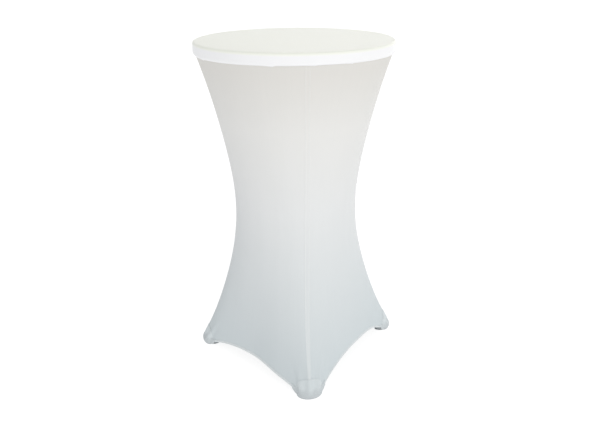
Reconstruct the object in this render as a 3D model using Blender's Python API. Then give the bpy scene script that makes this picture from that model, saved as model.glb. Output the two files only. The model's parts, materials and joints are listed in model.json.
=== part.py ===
"""A stretch tablecloth drawn over a round pedestal table.

The cover is a top panel, four skirt panels that meet in seams running down to the feet, a hem
binding along each arch between the feet, and a reinforced pocket hooked under each foot.  Under it
stand a round board, a column on a four-armed base, and four screw-in levelling glides.

Metres, +Z up.  The origin is on the floor, on the column's axis.  The front foot points to -Y.
"""

import math

import bmesh
import bpy
import numpy as np
from mathutils import Vector

# Driving dimensions
HEIGHT = 1.100  # floor to the top of the cloth
TOP_RADIUS = 0.305  # outside of the cloth round the board
RIM_DEPTH = 0.033  # top of the cloth to the underside of its turned-in lip
BOARD_THICK = 0.030
FOOT_REACH = 0.3655  # column axis to the tip of the cloth at a foot
FOOT_HEIGHT = 0.012  # where the skirt ends above the floor at a foot
FOOT_HALF_WIDTH = 0.042
FOOT_DEPTH = 0.028  # radial depth of the rounded tip
CLOTH = 0.0012
GAP = 0.0003

# How hard the cloth pulls, against a lengthwise pull of one half way down
HOOP_PULL = 1.23
WAIST_PULL = 4.3  # extra hoop pull round the waist
WAIST_AT = 0.65  # the waist's place, as a share of the cloth's length from the rim
WAIST_SPREAD = 0.16
LENGTH_PULL_FADE = 1.19  # how fast the lengthwise pull eases towards the floor
HEM_PULL = 4.0
SEAM_PULL = 0.045
SETTLED = 1e-18  # share of the first imbalance at which the form counts as found

# The skirt's grid
FOOT_ARC = math.radians(7.5)  # half of the turn that one foot tip takes up
FOOT_STEPS = 2
ARCH_STEPS = 8
SKIRT_ROWS = 18

HEM_WIDTH = 0.010
HEM_THICK = 0.0016
TAPE_WIDTH = 0.015
TAPE_THICK = 0.0008
TAPE_END_ROW = SKIRT_ROWS - 2  # the tape ends above the foot pocket
POCKET_THICK = 0.0010
SOLE_THICK = 0.0012
SOLE_BACK = 0.026  # glide's axis to the sole's inner end
SOLE_SHOULDER = 0.010

RIM_ROUND = 0.005
LIP_RADIUS = 0.2965  # inner edge of the top panel's turned-in lip

# Table
ROUND_STEPS = 48
SMALL_STEPS = 24
HOLE_STEPS = 12
EDGE_BAND = 0.0033
COLUMN_RADIUS = 0.038
COLUMN_WALL = 0.0022
SPIGOT_RADIUS = COLUMN_RADIUS - COLUMN_WALL - GAP
SPIGOT_LENGTH = 0.015

SPIDER_DEPTH = 0.030
SPIDER_RADIUS = 0.048
SPIDER_CROWN = 0.010  # thickness over the tie rod
PLATE_THICK = 0.005
PLATE_REACH = 0.175
PLATE_HALF_WIDTH = 0.016
SCREW_AT = 0.155
SCREW_RADIUS = 0.0023
SCREW_LENGTH = 0.025
SCREW_HEAD_RADIUS = 0.0048
SCREW_HEAD_DEPTH = 0.0032

HUB_RADIUS = 0.058
HUB_TOP = 0.070
ARM_BOTTOM = 0.016
BOSS_AT = 0.330  # column axis to the glide's axis
BOSS_RADIUS = 0.022
BOSS_TOP = 0.028
BOSS_ROUND = 0.005
ROD_RADIUS = 0.005
ROD_SEAT = ARM_BOTTOM + 0.016  # the washer's face inside the hub
WASHER_THICK = 0.0016
NUT_DEPTH = 0.008
NUT_FLATS = 0.016

PAD_RADIUS = 0.017
PAD_DEPTH = 0.008
STUD_RADIUS = 0.0040
COLLAR_DEPTH = 0.0045
COLLAR_FLATS = 0.013

FEET = ("front", "right", "back", "left")
PANELS = ("front_right", "back_right", "back_left", "front_left")

CLOTH_WHITE = (0.90, 0.91, 0.90)
BINDING_WHITE = (0.93, 0.94, 0.94)
LAMINATE = (0.74, 0.70, 0.62)
EDGE_GREY = (0.20, 0.20, 0.21)
BLACK_STEEL = (0.03, 0.03, 0.032)
ZINC = (0.66, 0.67, 0.68)
PAD_BLACK = (0.035, 0.035, 0.035)


def clear_scene():
    for obj in list(bpy.data.objects):
        bpy.data.objects.remove(obj, do_unlink=True)


def finish(name, colour, roughness, metallic=0.0):
    material = bpy.data.materials.new(name)
    material.use_nodes = True
    shader = material.node_tree.nodes["Principled BSDF"]
    shader.inputs["Base Color"].default_value = (*colour, 1.0)
    shader.inputs["Roughness"].default_value = roughness
    shader.inputs["Metallic"].default_value = metallic
    return material


def add_object(name, bm, material, smooth_angle=35):
    """Make a named object from bm, its faces pointing out and its round sides shaded smooth."""
    bmesh.ops.recalc_face_normals(bm, faces=bm.faces)
    mesh = bpy.data.meshes.new(name)
    bm.to_mesh(mesh)
    bm.free()
    mesh.shade_smooth()
    mesh.set_sharp_from_angle(angle=math.radians(smooth_angle))
    mesh.materials.append(material)
    obj = bpy.data.objects.new(name, mesh)
    bpy.context.scene.collection.objects.link(obj)
    return obj


def as_cutter(obj):
    obj.hide_render = True
    obj.display_type = "WIRE"
    return obj


def boolean(obj, other, operation, solver="EXACT"):
    cut = obj.modifiers.new(f"{operation.lower()} {other.name}", "BOOLEAN")
    cut.operation = operation
    cut.solver = solver
    cut.object = as_cutter(other)


def turned(outline, steps):
    """Spin a closed outline of (radius, z) points about Z into a solid."""
    bm = bmesh.new()
    ring = [bm.verts.new((radius, 0, z)) for radius, z in outline]
    edges = [bm.edges.new((a, b)) for a, b in zip(ring, ring[1:] + ring[:1])]
    bmesh.ops.spin(
        bm,
        geom=ring + edges,
        axis=(0, 0, 1),
        cent=(0, 0, 0),
        steps=steps,
        angle=math.tau,
        use_merge=True,
    )
    bmesh.ops.remove_doubles(bm, verts=bm.verts, dist=1e-6)
    bmesh.ops.dissolve_degenerate(bm, edges=bm.edges, dist=1e-6)
    on_axis = [edge for edge in bm.edges if not edge.link_faces]
    bmesh.ops.delete(bm, geom=on_axis, context="EDGES")
    return bm


def make_hexagonal(bm, low, high, across_flats):
    """Push the outside of a turned collar between two heights out to a hexagon."""
    for vert in bm.verts:
        radius = vert.co.xy.length
        if low - 1e-6 <= vert.co.z <= high + 1e-6 and radius > across_flats * 0.45:
            turn = math.atan2(vert.co.y, vert.co.x) % math.radians(60) - math.radians(30)
            scale = across_flats / 2 / math.cos(turn) / radius
            vert.co.x *= scale
            vert.co.y *= scale


def corner(centre_r, centre_z, radius, start, end, steps=4):
    """Points along a round corner, angles in degrees from +r towards +z."""
    angles = [math.radians(start + (end - start) * i / steps) for i in range(steps + 1)]
    return [(centre_r + radius * math.cos(a), centre_z + radius * math.sin(a)) for a in angles]


def extruded(outline, low, high):
    """A prism of the (x, y) outline between two heights."""
    bm = bmesh.new()
    face = bm.faces.new([bm.verts.new((x, y, low)) for x, y in outline])
    grown = bmesh.ops.extrude_face_region(bm, geom=[face])
    lifted = [item for item in grown["geom"] if isinstance(item, bmesh.types.BMVert)]
    bmesh.ops.translate(bm, verts=lifted, vec=(0, 0, high - low))
    return bm


# ---- The stretched cover's form ----


def column_turns():
    """The turn, from the front foot, of each lengthwise line of the skirt, for one whole round."""
    quarter = math.tau / 4
    foot = [FOOT_ARC * i / FOOT_STEPS for i in range(FOOT_STEPS)]
    arch = [FOOT_ARC + (quarter - 2 * FOOT_ARC) * i / ARCH_STEPS for i in range(ARCH_STEPS)]
    back = [quarter - FOOT_ARC + FOOT_ARC * i / FOOT_STEPS for i in range(FOOT_STEPS)]
    panel = foot + arch + back
    return np.array([turn + quarter * side for side in range(4) for turn in panel])


def start_shape(turns):
    """The skirt's grid before it is pulled: rim and foot tips in place, straight lines between."""
    count = len(turns)
    per_panel = count // 4
    angle = turns - math.pi / 2
    out = np.stack([np.cos(angle), np.sin(angle), np.zeros(count)], axis=1)
    rim_radius = LIP_RADIUS + 2 * CLOTH
    rim = out * rim_radius
    rim[:, 2] = HEIGHT - RIM_DEPTH - GAP - CLOTH
    hem = out * FOOT_REACH * 0.75
    hem[:, 2] = 0.06
    held = np.zeros(count, bool)
    for foot in range(4):
        middle = foot * per_panel
        ahead = out[middle]
        side = np.array([-ahead[1], ahead[0], 0.0])
        for step in range(-FOOT_STEPS, FOOT_STEPS + 1):
            turn = step / FOOT_STEPS * math.pi / 2
            place = ahead * (FOOT_REACH - FOOT_DEPTH + FOOT_DEPTH * math.cos(turn))
            place = place + side * FOOT_HALF_WIDTH * math.sin(turn)
            place[2] = FOOT_HEIGHT
            hem[(middle + step) % count] = place
            held[(middle + step) % count] = True
    down = np.linspace(0, 1, SKIRT_ROWS + 1)[None, :, None]
    grid = rim[:, None, :] * (1 - down) + hem[:, None, :] * down
    free = np.ones((count, SKIRT_ROWS + 1), bool)
    free[:, 0] = False
    free[held, -1] = False
    return grid, free


def pulls(turns):
    """The pull of each strand of the grid: (round, lengthwise) arrays."""
    count = len(turns)
    per_panel = count // 4
    width = np.diff(np.append(turns, math.tau))
    step = 1 / SKIRT_ROWS
    at = np.arange(SKIRT_ROWS + 1) * step
    hoop = HOOP_PULL * (1 + WAIST_PULL * np.exp(-(((at - WAIST_AT) / WAIST_SPREAD) ** 2)))
    round_pull = hoop[None, :] * step / width[:, None]
    round_pull[:, -1] = (hoop[-1] * step / 2 + HEM_PULL) / width
    between = np.arange(SKIRT_ROWS) * step
    length = np.exp(-LENGTH_PULL_FADE * (between - 0.5))
    share = (width + np.roll(width, 1)) / 2
    length_pull = length[None, :] * share[:, None] / step
    length_pull[::per_panel] += SEAM_PULL / step
    return round_pull, length_pull


def balance(grid, free, round_pull, length_pull):
    """Move the free points to where their strands pull evenly, by conjugate gradients."""

    def force(shape):
        across = round_pull[..., None] * (np.roll(shape, -1, 0) - shape)
        along = length_pull[..., None] * (shape[:, 1:] - shape[:, :-1])
        total = across - np.roll(across, 1, 0)
        total[:, :-1] += along
        total[:, 1:] -= along
        return total * free[..., None]

    stiffness = round_pull + np.roll(round_pull, 1, 0)
    stiffness[:, :-1] += length_pull
    stiffness[:, 1:] += length_pull
    grid = grid.copy()
    rest = force(grid)
    lead = rest / stiffness[..., None]
    heading = lead
    energy = (rest * lead).sum()
    first = energy
    while energy > SETTLED * first:
        change = -force(heading)
        stride = energy / (heading * change).sum()
        grid += stride * heading
        rest = rest - stride * change
        lead = rest / stiffness[..., None]
        fresh = (rest * lead).sum()
        heading = lead + fresh / energy * heading
        energy = fresh
    return grid


def unit(vectors):
    return vectors / np.linalg.norm(vectors, axis=-1, keepdims=True)


def mitres(grid):
    """Outward vectors that keep a shell's thickness on both sides of each lengthwise line."""
    down = np.gradient(grid, axis=1)
    ahead = np.roll(grid, -1, 0) - grid
    face_ahead = unit(np.cross(down, ahead))
    face_behind = unit(np.cross(down, np.roll(ahead, 1, 0)))
    agree = 1 + (face_ahead * face_behind).sum(-1, keepdims=True)
    return (face_ahead + face_behind) / agree


def panel_lines(grid, panel):
    """The lengthwise lines of one panel, from its first seam to its second."""
    per_panel = len(grid) // 4
    lines = np.arange(panel * per_panel, (panel + 1) * per_panel + 1) % len(grid)
    return grid[lines]


def along(line, distance, values=None):
    """The point this far along a line of points, or the value there."""
    values = line if values is None else values
    for start, end, low, high in zip(line, line[1:], values, values[1:]):
        step = np.linalg.norm(end - start)
        if distance <= step:
            return low + (high - low) * distance / step
        distance -= step
    return values[-1]


def narrowed(middle, by):
    """The panel with both its seam edges drawn in, so that its neighbours keep a gap."""
    middle = middle.copy()
    for row in range(middle.shape[1]):
        whole = middle[:, row].copy()
        middle[0, row] = along(whole, by)
        middle[-1, row] = along(whole[::-1], by)
    return middle


def shell(middle, outward, outer, inner):
    """A closed sheet between two offsets from a grid of points."""
    bm = bmesh.new()
    lines, rows = middle.shape[:2]
    skins = []
    for offset in (outer, inner):
        skins.append([[bm.verts.new(p) for p in line] for line in middle + outward * offset])
    for skin in skins:
        for i in range(lines - 1):
            for j in range(rows - 1):
                bm.faces.new((skin[i][j], skin[i + 1][j], skin[i + 1][j + 1]))
                bm.faces.new((skin[i][j], skin[i + 1][j + 1], skin[i][j + 1]))
    outside, inside = skins
    edge = [(i, 0) for i in range(lines)] + [(lines - 1, j) for j in range(1, rows)]
    edge += [(i, rows - 1) for i in range(lines - 2, -1, -1)]
    edge += [(0, j) for j in range(rows - 2, 0, -1)]
    for (i, j), (k, m) in zip(edge, edge[1:] + edge[:1]):
        bm.faces.new((outside[i][j], outside[k][m], inside[k][m], inside[i][j]))
    return bm


# ---- The cover's pieces ----


def make_skirt_panels(grid, outward, material):
    """The panels, each ending where its hem binding starts."""
    above_hem = HEM_WIDTH + GAP
    for side, name in enumerate(PANELS):
        middle = narrowed(panel_lines(grid, side), GAP)
        near = panel_lines(outward, side).copy()
        for line, out in zip(middle, near):
            out[-1] = along(line[::-1], above_hem, out[::-1])
            line[-1] = along(line[::-1], above_hem)
        add_object(f"skirt_panel_{name}", shell(middle, near, CLOTH / 2, -CLOTH / 2), material)


def make_hem_bindings(grid, outward, material):
    for side, name in enumerate(PANELS):
        middle = narrowed(panel_lines(grid, side), GAP)
        rise = panel_lines(outward, side)
        strip = []
        edge = []
        for line, out in zip(middle, rise):
            strip.append([along(line[::-1], HEM_WIDTH), line[-1]])
            edge.append([along(line[::-1], HEM_WIDTH, out[::-1]), out[-1]])
        bm = shell(np.array(strip), np.array(edge), HEM_THICK / 2, -HEM_THICK / 2)
        add_object(f"hem_binding_{name}", bm, material)


def make_seam_tapes(grid, outward, material):
    """The strip behind each seam, bent with the two panels that it joins."""
    per_panel = len(grid) // 4
    rows = range(1, TAPE_END_ROW)
    for side, name in enumerate(FEET):
        seam = side * per_panel
        ahead = panel_lines(grid, side)
        behind = panel_lines(grid, (side - 1) % 4)[::-1]
        left = np.stack([along(ahead[:, row], TAPE_WIDTH / 2) for row in rows])
        right = np.stack([along(behind[:, row], TAPE_WIDTH / 2) for row in rows])
        strip = np.stack([right, grid[seam, rows], left])
        near = outward[[seam - 1, seam, (seam + 1) % len(grid)]][:, rows]
        inner = -CLOTH / 2 - 2 * GAP
        add_object(f"seam_tape_{name}", shell(strip, near, inner, inner - TAPE_THICK), material)


def make_foot_pockets(grid, outward, material):
    """The patch over the cloth's tip at each foot, carried on down past the skirt's edge."""
    per_panel = len(grid) // 4
    for side, name in enumerate(FEET):
        lines = np.arange(-FOOT_STEPS, FOOT_STEPS + 1) + side * per_panel
        tip = grid[lines % len(grid)]
        rise = outward[lines % len(grid)]
        middle = []
        near = []
        for line, out in zip(tip, rise):
            hem = along(line[::-1], HEM_WIDTH)
            hem_out = along(line[::-1], HEM_WIDTH, out[::-1])
            foot = line[-1].copy()
            foot[2] = SOLE_THICK + 3 * GAP
            middle.append([line[-2], hem, line[-1], foot])
            near.append([out[-2], hem_out, out[-1], out[-1] * (1, 1, 0)])
        inner = HEM_THICK / 2 + 2 * GAP
        bm = shell(np.array(middle), np.array(near), inner + POCKET_THICK, inner)
        add_object(f"foot_pocket_{name}", bm, material)


def make_pocket_soles(material):
    """The sole that passes under each glide, inside the outline of the pocket above it."""
    tip = [math.radians(-90 + 180 * i / 8) for i in range(9)]
    reach = FOOT_REACH - FOOT_DEPTH - BOSS_AT
    wide = FOOT_HALF_WIDTH
    narrow = FOOT_HALF_WIDTH * 0.8
    outline = [(-SOLE_BACK, -narrow), (-SOLE_SHOULDER, -wide)]
    outline += [(reach + FOOT_DEPTH * math.cos(a), wide * math.sin(a)) for a in tip]
    outline += [(-SOLE_SHOULDER, wide), (-SOLE_BACK, narrow)]
    for name, turn, centre in foot_places():
        sole = add_object(f"pocket_sole_{name}", extruded(outline, 0, SOLE_THICK), material)
        sole.location = centre
        sole.rotation_euler.z = turn


def make_top_panel(material):
    """The cap over the board, its edge turned in under the board's."""
    top = HEIGHT
    low = HEIGHT - RIM_DEPTH
    inside = RIM_ROUND - CLOTH
    centre = TOP_RADIUS - RIM_ROUND
    outline = [(0, top)] + corner(centre, top - RIM_ROUND, RIM_ROUND, 90, 0)
    outline += corner(centre, low + RIM_ROUND, RIM_ROUND, 0, -90)
    outline += [(LIP_RADIUS, low), (LIP_RADIUS, low + CLOTH)]
    outline += corner(centre, low + RIM_ROUND, inside, -90, 0)
    outline += corner(centre, top - RIM_ROUND, inside, 0, 90)
    outline += [(0, top - CLOTH)]
    add_object("top_panel", turned(outline, ROUND_STEPS), material)


def make_rim_seam_tape(material):
    low = HEIGHT - RIM_DEPTH
    outer = LIP_RADIUS - GAP
    inner = outer - 0.008
    outline = [(inner, low), (outer, low), (outer, low + CLOTH), (inner, low + CLOTH)]
    add_object("rim_seam_tape", turned(outline, ROUND_STEPS), material)


# ---- The table's pieces ----


def foot_places():
    """Name, turn about Z and glide axis of each foot."""
    for index, name in enumerate(FEET):
        turn = math.tau / 4 * (index - 1)
        yield name, turn, Vector((BOSS_AT * math.cos(turn), BOSS_AT * math.sin(turn), 0))


def screw_places():
    for name, turn, _ in foot_places():
        yield name, Vector((SCREW_AT * math.cos(turn), SCREW_AT * math.sin(turn), 0))


def drill(obj, name, radius, low, high, place, solver="EXACT"):
    """Drill a round hole in an object between two heights."""
    outline = [(0, low), (radius, low), (radius, high), (0, high)]
    bit = add_object(name, turned(outline, HOLE_STEPS), obj.data.materials[0])
    bit.location = place
    boolean(obj, bit, "DIFFERENCE", solver)


def board_levels():
    top = HEIGHT - CLOTH - GAP
    return top - BOARD_THICK, top


def make_board(material):
    low, top = board_levels()
    radius = TOP_RADIUS - CLOTH - EDGE_BAND - 2 * GAP
    outline = [(0, low), (radius, low), (radius, top), (0, top)]
    board = add_object("tabletop_board", turned(outline, ROUND_STEPS), material)
    pilot_top = plate_top() - PLATE_THICK + SCREW_LENGTH + GAP
    for name, place in screw_places():
        drill(board, f"pilot_hole_{name}", SCREW_RADIUS + GAP, low - 0.01, pilot_top, place)


def make_edge_band(material):
    low, top = board_levels()
    outer = TOP_RADIUS - CLOTH - GAP
    inner = outer - EDGE_BAND
    rounding = EDGE_BAND - GAP
    outline = corner(outer - rounding, top - rounding, rounding, 90, 0)
    outline += corner(outer - rounding, low + rounding, rounding, 0, -90)
    outline += [(inner, low), (inner, top)]
    add_object("board_edge_band", turned(outline, ROUND_STEPS), material)


def plate_top():
    return board_levels()[0] - GAP


def make_top_spider(material):
    """The four-armed plate under the board, with the boss that the column seats on."""
    top = plate_top()
    seat = top - SPIDER_DEPTH
    bore = ROD_RADIUS + GAP
    crown = top - SPIDER_CROWN
    outline = [(0, top), (SPIDER_RADIUS, top), (SPIDER_RADIUS, crown), (SPIDER_RADIUS - 0.004, seat)]
    outline += [(SPIGOT_RADIUS, seat), (SPIGOT_RADIUS, seat - SPIGOT_LENGTH)]
    outline += [(bore, seat - SPIGOT_LENGTH), (bore, crown), (0, crown)]
    spider = add_object("top_spider", turned(outline, SMALL_STEPS), material)
    half = PLATE_HALF_WIDTH
    root = SPIDER_RADIUS / 2
    round_end = [math.radians(-90 + 180 * i / 6) for i in range(7)]
    blade = [(root, -half)]
    blade += [(PLATE_REACH - half + half * math.cos(a), half * math.sin(a)) for a in round_end]
    blade += [(root, half)]
    for name, turn, _ in foot_places():
        arm = add_object(f"spider_arm_{name}", extruded(blade, top - PLATE_THICK, top), material)
        arm.rotation_euler.z = turn
        boolean(spider, arm, "UNION")
    for name, place in screw_places():
        drill(spider, f"spider_hole_{name}", SCREW_RADIUS + GAP, top - 0.02, top + 0.01, place)


def make_board_screws(material):
    under = plate_top() - PLATE_THICK - GAP
    head = under - SCREW_HEAD_DEPTH
    socket = 0.0015
    tip = under + SCREW_LENGTH
    outline = [(0, head + socket), (socket, head + socket), (socket, head)]
    outline += [(SCREW_HEAD_RADIUS - 0.0016, head), (SCREW_HEAD_RADIUS, head + 0.0016)]
    outline += [(SCREW_HEAD_RADIUS, under), (SCREW_RADIUS, under), (SCREW_RADIUS, tip - 0.003), (0, tip)]
    for name, place in screw_places():
        screw = add_object(f"board_screw_{name}", turned(outline, HOLE_STEPS), material)
        screw.location = place


def make_column(material):
    low = HUB_TOP + GAP
    top = plate_top() - SPIDER_DEPTH - GAP
    bore = COLUMN_RADIUS - COLUMN_WALL
    outline = [(bore, low), (COLUMN_RADIUS, low), (COLUMN_RADIUS, top), (bore, top)]
    add_object("column_tube", turned(outline, SMALL_STEPS), material)


def make_tie_rod(material):
    low = ARM_BOTTOM + 0.002
    top = plate_top() - SPIDER_CROWN - 0.002
    chamfer = 0.001
    outline = [(0, low), (ROD_RADIUS - chamfer, low), (ROD_RADIUS, low + chamfer)]
    outline += [(ROD_RADIUS, top - chamfer), (ROD_RADIUS - chamfer, top), (0, top)]
    add_object("tie_rod", turned(outline, SMALL_STEPS), material)


def make_washer_and_nut(material):
    bore = ROD_RADIUS + GAP
    outer = 0.0105
    high = ROD_SEAT - GAP
    low = high - WASHER_THICK
    outline = [(bore, low), (outer, low), (outer, high), (bore, high)]
    add_object("rod_washer", turned(outline, SMALL_STEPS), material)
    high = low - GAP
    low = high - NUT_DEPTH
    outline = [(bore, low), (NUT_FLATS / 2, low), (NUT_FLATS / 2, high), (bore, high)]
    nut = turned(outline, SMALL_STEPS)
    make_hexagonal(nut, low, high, NUT_FLATS)
    add_object("rod_nut", nut, material)


def arm_section(at, half_width, low, top):
    """The corners of an arm at one place along it, with its upper edges sloped."""
    shoulder = low + (top - low) * 0.6
    crown = half_width * 0.45
    return [
        (at, -half_width, low),
        (at, half_width, low),
        (at, half_width, shoulder),
        (at, crown, top),
        (at, -crown, top),
        (at, -half_width, shoulder),
    ]


def base_arm():
    """One arm, its underside a little above the hub's and the boss's."""
    bm = bmesh.new()
    low = ARM_BOTTOM + 0.0015
    sections = [(0.040, 0.021, 0.057), (0.120, 0.019, 0.050), (0.230, 0.016, 0.038)]
    sections += [(BOSS_AT + 0.009, 0.013, BOSS_TOP - 0.0015)]
    rings = []
    for at, half_width, top in sections:
        rings.append([bm.verts.new(p) for p in arm_section(at, half_width, low, top)])
    for ring, following in zip(rings, rings[1:]):
        for i in range(len(ring)):
            k = (i + 1) % len(ring)
            bm.faces.new((ring[i], ring[k], following[k], following[i]))
    bm.faces.new(rings[0])
    bm.faces.new(rings[-1])
    return bm


def hub_outline():
    """The hub, open below round the nut, with a spigot on top for the column."""
    well = 0.013
    spigot_top = HUB_TOP + SPIGOT_LENGTH
    bore = ROD_RADIUS + GAP
    outline = [(well, ARM_BOTTOM), (HUB_RADIUS, ARM_BOTTOM), (HUB_RADIUS, 0.040), (0.050, 0.062)]
    outline += [(0.047, HUB_TOP), (SPIGOT_RADIUS, HUB_TOP), (SPIGOT_RADIUS, spigot_top)]
    outline += [(bore, spigot_top), (bore, ROD_SEAT), (well, ROD_SEAT)]
    return outline


def boss_outline():
    chamfer = 0.001
    outline = [(0, ARM_BOTTOM), (BOSS_RADIUS - chamfer, ARM_BOTTOM), (BOSS_RADIUS, ARM_BOTTOM + chamfer)]
    outline += [(BOSS_RADIUS, BOSS_TOP - BOSS_ROUND), (BOSS_RADIUS - BOSS_ROUND, BOSS_TOP), (0, BOSS_TOP)]
    return outline


def make_base(material):
    """The cast base: a hub, four arms, and a threaded boss for each glide."""
    base = add_object("pedestal_base", turned(hub_outline(), SMALL_STEPS), material)
    for name, turn, centre in foot_places():
        arm = add_object(f"base_arm_{name}", base_arm(), material)
        arm.rotation_euler.z = turn
        boolean(base, arm, "UNION", "MANIFOLD")
        boss = add_object(f"base_boss_{name}", turned(boss_outline(), SMALL_STEPS), material)
        boss.location = centre
        boolean(base, boss, "UNION", "MANIFOLD")
        drill(base, f"stud_hole_{name}", STUD_RADIUS + GAP, 0, 2 * BOSS_TOP, centre, "MANIFOLD")


def pad_outline(low, well):
    top = low + PAD_DEPTH
    socket = 0.0056
    outline = [(0, low), (PAD_RADIUS - 0.002, low), (PAD_RADIUS, low + 0.002)]
    outline += [(PAD_RADIUS, low + 0.005), (PAD_RADIUS - 0.005, top), (socket, top)]
    outline += [(socket, well), (0, well)]
    return outline


def stud_outline(low, collar):
    """A ball end in the pad's socket, a collar for a spanner, and the threaded shank."""
    top = 0.0415
    chamfer = 0.001
    ball = 0.0050
    flats = COLLAR_FLATS / 2
    outline = [(0, low), (ball, low), (ball, collar), (flats, collar), (flats, collar + COLLAR_DEPTH)]
    outline += [(STUD_RADIUS, collar + COLLAR_DEPTH), (STUD_RADIUS, top - chamfer)]
    outline += [(STUD_RADIUS - chamfer, top), (0, top)]
    return outline


def make_glides(pad_material, stud_material):
    """A levelling glide at each foot: a pad that turns freely on the stud screwed into the boss."""
    pad_low = SOLE_THICK + GAP
    well = pad_low + 0.0027
    collar = pad_low + PAD_DEPTH + GAP
    for name, _, centre in foot_places():
        bm = turned(pad_outline(pad_low, well), SMALL_STEPS)
        pad = add_object(f"glide_pad_{name}", bm, pad_material)
        pad.location = centre
        bm = turned(stud_outline(well + GAP, collar), SMALL_STEPS)
        make_hexagonal(bm, collar, collar + COLLAR_DEPTH, COLLAR_FLATS)
        stud = add_object(f"glide_stud_{name}", bm, stud_material)
        stud.location = centre


def main():
    clear_scene()
    cloth = finish("stretch_cloth", CLOTH_WHITE, 0.72)
    binding = finish("binding_cloth", BINDING_WHITE, 0.70)
    laminate = finish("board_laminate", LAMINATE, 0.45)
    edging = finish("edge_banding", EDGE_GREY, 0.50)
    painted = finish("black_paint", BLACK_STEEL, 0.42, 0.2)
    zinc = finish("zinc_steel", ZINC, 0.35, 1.0)
    pad = finish("glide_plastic", PAD_BLACK, 0.6)

    turns = column_turns()
    grid, free = start_shape(turns)
    grid = balance(grid, free, *pulls(turns))
    outward = mitres(grid)

    make_top_panel(cloth)
    make_rim_seam_tape(binding)
    make_skirt_panels(grid, outward, cloth)
    make_seam_tapes(grid, outward, binding)
    make_hem_bindings(grid, outward, binding)
    make_foot_pockets(grid, outward, binding)
    make_pocket_soles(binding)
    make_board(laminate)
    make_edge_band(edging)
    make_top_spider(painted)
    make_board_screws(zinc)
    make_column(painted)
    make_tie_rod(zinc)
    make_washer_and_nut(zinc)
    make_base(painted)
    make_glides(pad, zinc)


main()
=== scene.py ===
# %% [markdown]
# # A stretch cover on a round pedestal table
#
# This lesson dresses a packed table model in its cloth.  The frame holds the plain solids: board,
# column, base, glides, and a rough shell for each piece of the cover.  Here each piece of cloth is
# made again with its real form, seams, stitches and knit, in the same metres as the frame.

# %% Load the frame
import json
import math

import bpy
import numpy as np
from mathutils import Matrix, Vector

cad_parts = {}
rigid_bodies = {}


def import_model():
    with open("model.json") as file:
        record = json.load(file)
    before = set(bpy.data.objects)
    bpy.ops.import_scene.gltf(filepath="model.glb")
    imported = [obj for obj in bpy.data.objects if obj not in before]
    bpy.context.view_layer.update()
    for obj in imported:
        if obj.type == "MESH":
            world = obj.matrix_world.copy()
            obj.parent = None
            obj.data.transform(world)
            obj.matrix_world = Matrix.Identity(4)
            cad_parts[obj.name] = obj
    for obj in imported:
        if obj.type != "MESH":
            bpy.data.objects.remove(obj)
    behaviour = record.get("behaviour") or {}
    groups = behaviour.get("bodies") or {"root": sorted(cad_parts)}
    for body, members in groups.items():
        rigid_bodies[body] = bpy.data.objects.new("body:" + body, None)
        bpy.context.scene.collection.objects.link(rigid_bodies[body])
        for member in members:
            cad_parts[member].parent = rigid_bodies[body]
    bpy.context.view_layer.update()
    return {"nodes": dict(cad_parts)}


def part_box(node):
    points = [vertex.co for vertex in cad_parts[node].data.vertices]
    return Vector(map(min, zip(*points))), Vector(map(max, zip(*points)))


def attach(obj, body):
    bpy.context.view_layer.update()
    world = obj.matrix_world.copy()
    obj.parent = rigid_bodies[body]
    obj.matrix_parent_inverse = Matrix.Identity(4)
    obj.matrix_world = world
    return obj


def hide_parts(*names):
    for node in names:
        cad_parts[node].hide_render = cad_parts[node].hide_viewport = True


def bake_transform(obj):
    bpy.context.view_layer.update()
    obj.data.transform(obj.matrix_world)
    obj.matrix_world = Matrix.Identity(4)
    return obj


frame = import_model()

# %% [markdown]
# ## Sizes
#
# The main sizes come from the frame's own pieces; the rest are thicknesses and foot sizes that
# match them.
# The cover's form depends on three places only: the rim, where the cloth is held round the board,
# the four feet, where it is hooked down, and the pull of the knit between them.

# %% Sizes of the cover
FEET = ("front", "right", "back", "left")
PANELS = ("front_right", "back_right", "back_left", "front_left")
COVER = "table_and_cover"

top_low, top_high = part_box("top_panel")
HEIGHT = top_high.z
RADIUS = top_high.x
LIP_UNDER = top_low.z
RIM_DEPTH = HEIGHT - LIP_UNDER
RIM_RADIUS = RADIUS - 0.0061  # where the skirt leaves the rim
SKIRT_TOP = LIP_UNDER - 0.0015

POCKET_STAND = 0.0022  # how far the foot pocket stands out from the skirt's middle
FOOT_REACH = -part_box("foot_pocket_front")[0].y - POCKET_STAND
FOOT_HEIGHT = 0.012
FOOT_HALF_WIDTH = 0.042
FOOT_DEPTH = 0.028

KNIT = 0.0006  # thickness of the stretched knit
print("cover", round(2 * RADIUS, 3), "across,", round(HEIGHT, 3), "high, feet at", round(FOOT_REACH, 4))

# %% [markdown]
# ## The stretched form
#
# Stretch cloth hooked under four feet pulls itself into a saddle: narrow in the middle, with a
# ridge running down to each foot and an arched hem between the feet.  A cloth simulation would get
# there slowly and never quite settle.  The form of a net under a known pull can be solved outright,
# because each knot rests where the pulls of its four strands cancel.  That is one large set of
# linear equations, and conjugate gradients solve it in a second or two.
#
# The settled net is perfectly regular, and a cover pulled on by hand isn't.  So the waist is turned
# a little and each arch is given its own lean and sag.  Those amounts are listed below.

# %% The net and its pulls
FOOT_ARC = math.radians(7.5)  # half of the turn that one foot takes up
FOOT_STEPS = 4
ARCH_STEPS = 32
ROWS = 80

HOOP_PULL = 1.23
WAIST_PULL = 4.3
WAIST_AT = 0.65
WAIST_SPREAD = 0.16
LENGTH_PULL_FADE = 1.19
HEM_PULL = 4.0
SEAM_PULL = 0.045
SETTLED = 1e-16


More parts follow.
